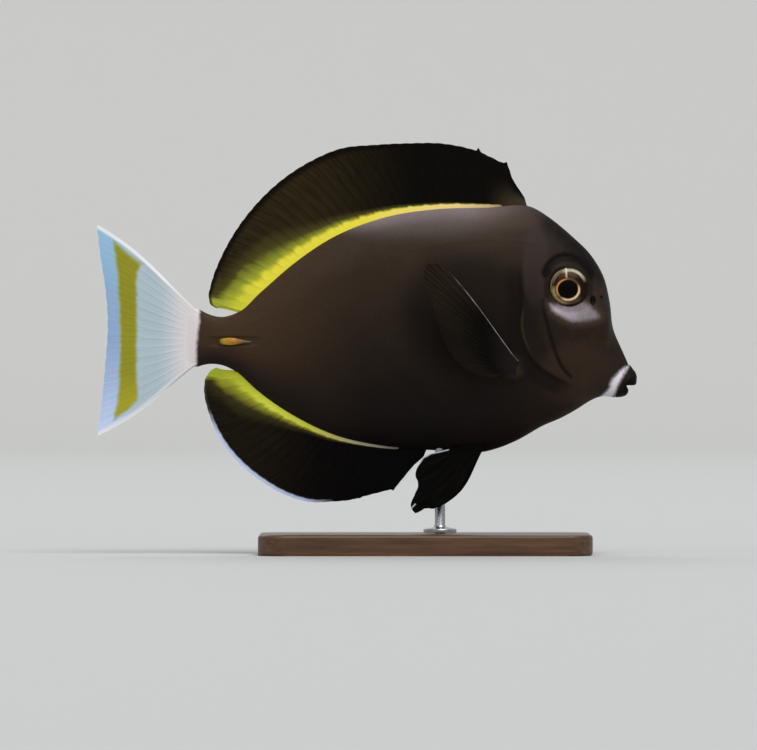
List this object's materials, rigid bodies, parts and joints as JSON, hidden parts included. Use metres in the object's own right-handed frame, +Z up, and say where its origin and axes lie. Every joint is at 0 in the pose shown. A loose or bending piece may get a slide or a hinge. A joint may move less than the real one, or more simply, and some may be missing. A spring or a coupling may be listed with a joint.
{
  "type": "whitecheek surgeonfish",
  "caption": "Still, life-size whitecheek surgeonfish: deep flat body, spread fins, small beak-like mouth and folding tail spines, held level on a rod and flat base.",
  "frame": {"origin": "on the floor under the middle of the whole model's box", "axes": "+X the way the fish looks, +Y its left side, +Z up"},
  "size_m": [0.1301, 0.044, 0.0991],
  "materials": {
    "skin": "satin, finely scaled",
    "lips": "satin",
    "eyes": "polished",
    "dark_fins": "satin, ribbed with rays",
    "tail_fin": "satin, ribbed with rays",
    "tail_spines": "satin",
    "stand_wood": "oiled",
    "stand_steel": "brushed"
  },
  "bodies": {
    "root": {"anal_fin": "dark_fins", "dorsal_fin": "dark_fins", "eye_left": "eyes", "eye_right": "eyes", "gill_cover_left": "skin", "gill_cover_right": "skin", "head": "skin", "lower_lip": "lips", "pectoral_fin_left": "dark_fins", "pectoral_fin_right": "dark_fins", "pelvic_fin_left": "dark_fins", "pelvic_fin_right": "dark_fins", "stand_base": "stand_wood", "stand_rod": "stand_steel", "tail_fin": "tail_fin", "tail_spine_left": "tail_spines", "tail_spine_right": "tail_spines", "tail_stalk": "skin", "trunk": "skin", "upper_lip": "lips"}
  },
  "joints": []
}
